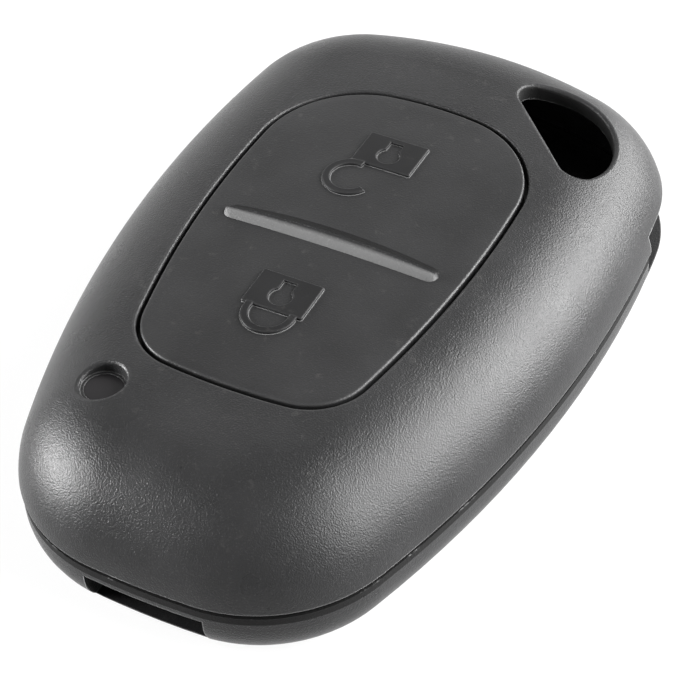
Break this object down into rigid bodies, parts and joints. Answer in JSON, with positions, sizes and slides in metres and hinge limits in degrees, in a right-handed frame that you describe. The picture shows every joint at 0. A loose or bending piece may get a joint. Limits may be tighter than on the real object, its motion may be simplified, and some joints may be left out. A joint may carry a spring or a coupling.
{
  "type": "car remote key fob",
  "caption": "Rounded two-part car key fob with a rocking button pad, raised divider bar, corner key ring hole, blade socket and the electronics inside.",
  "frame": {"origin": "under the middle of the plan, on the flat back face", "axes": "+Z out of the buttons, +Y to the key ring end, -Y to the blade socket end, +X to the side of the key ring hole"},
  "size_m": [0.0394, 0.062, 0.015],
  "materials": {
    "case_plastic": "fine-textured black moulded plastic",
    "pad_plastic": "smooth matt black moulded plastic",
    "smoked_lens": "dark smoked clear plastic",
    "board_laminate": "green solder mask on glass laminate",
    "switch_plastic": "black moulded switch base",
    "plunger_plastic": "ivory moulded plunger",
    "spring_steel": "stamped stainless steel",
    "chip_epoxy": "black moulded epoxy",
    "ceramic": "fired ceramic with tinned ends",
    "led_body": "white housing with a clear cap",
    "ferrite": "sintered ferrite",
    "copper_wire": "enamelled copper wire"
  },
  "bodies": {
    "case_back": {"lower_shell": "case_plastic", "circuit_board": "board_laminate", "unlock_switch": "switch_plastic", "unlock_switch_cover": "spring_steel", "unlock_dome": "spring_steel", "lock_switch": "switch_plastic", "lock_switch_cover": "spring_steel", "lock_dome": "spring_steel", "coin_cell": "spring_steel", "negative_contact": "spring_steel", "positive_contact": "spring_steel", "controller_chip": "chip_epoxy", "transmitter_chip": "chip_epoxy", "crystal": "spring_steel", "resonator": "ceramic", "status_led": "led_body", "ferrite_core": "ferrite", "antenna_winding": "copper_wire", "capacitors": "ceramic", "resistors": "ceramic", "transponder_chip": "ferrite"},
    "case_front": {"upper_shell": "case_plastic", "pad_bridge": "pad_plastic", "led_lens": "smoked_lens"},
    "unlock_half": {"unlock_button": "pad_plastic"},
    "lock_half": {"lock_button": "pad_plastic"},
    "unlock_push": {"unlock_plunger": "plunger_plastic"},
    "lock_push": {"lock_plunger": "plunger_plastic"}
  },
  "joints": [
    {"name": "case_open", "type": "slide", "parent": "case_back", "child": "case_front", "axis": [0, 0, 1], "range_m": [0, 0.02]},
    {"name": "unlock_press", "type": "hinge", "parent": "case_front", "child": "unlock_half", "pos_m": [0, 0.00063, 0.0126], "axis": [-1, 0, 0], "range_deg": [0, 1.9], "stiffness_Nm_per_rad": 0.8},
    {"name": "lock_press", "type": "hinge", "parent": "case_front", "child": "lock_half", "pos_m": [0, -0.00213, 0.0126], "axis": [1, 0, 0], "range_deg": [0, 1.9], "stiffness_Nm_per_rad": 0.8},
    {"name": "unlock_click", "type": "slide", "parent": "case_back", "child": "unlock_push", "axis": [0, 0, -1], "range_m": [0, 0.0003]},
    {"name": "lock_click", "type": "slide", "parent": "case_back", "child": "lock_push", "axis": [0, 0, -1], "range_m": [0, 0.0003]}
  ],
  "couplings": [
    {"joint": "unlock_click", "follows": "unlock_press", "m_per_rad": 0.009},
    {"joint": "lock_click", "follows": "lock_press", "m_per_rad": 0.009}
  ]
}
